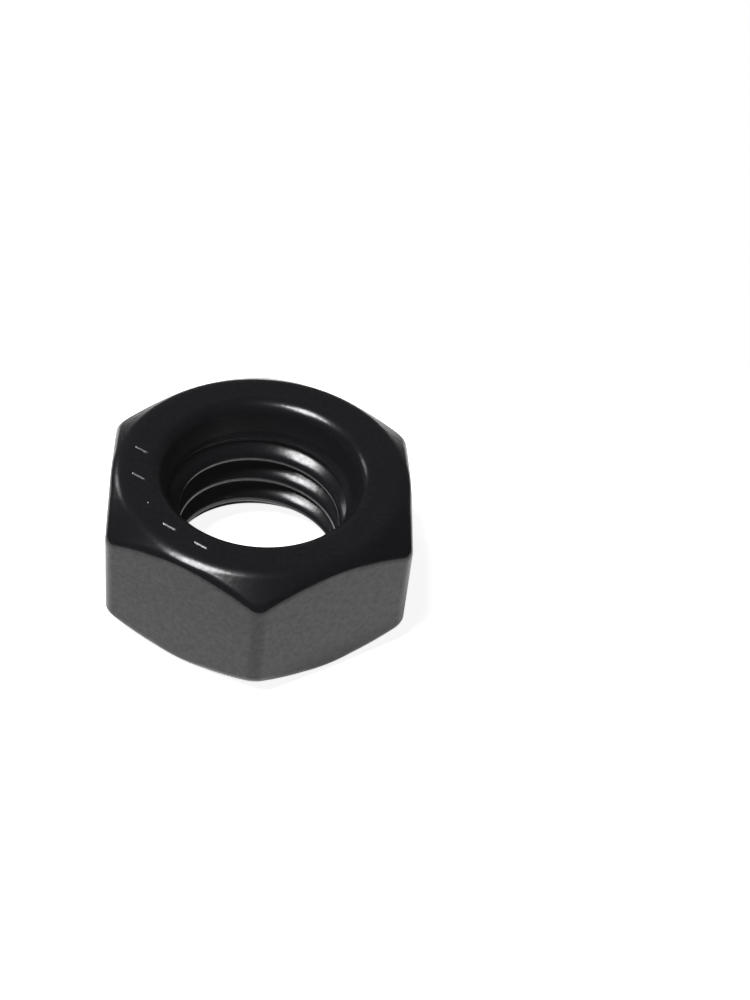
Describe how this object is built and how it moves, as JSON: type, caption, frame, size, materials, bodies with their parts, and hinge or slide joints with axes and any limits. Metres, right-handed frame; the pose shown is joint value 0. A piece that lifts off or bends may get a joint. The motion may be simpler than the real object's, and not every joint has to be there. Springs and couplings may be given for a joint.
{
  "type": "hex nut",
  "caption": "Metric hex nut with a coarse right-hand thread, chamfered corners, a plain countersink below and a deeper rounded one above.",
  "frame": {"origin": "centre of the bearing face, on the thread's axis", "axes": "+Z along the thread's axis from the bearing face to the marked face, +X square to one wrench flat, +Y through a corner"},
  "size_m": [0.0128, 0.0146, 0.0062],
  "materials": {
    "black_steel": "satin"
  },
  "bodies": {
    "root": {"hex_nut": "black_steel"}
  },
  "joints": []
}
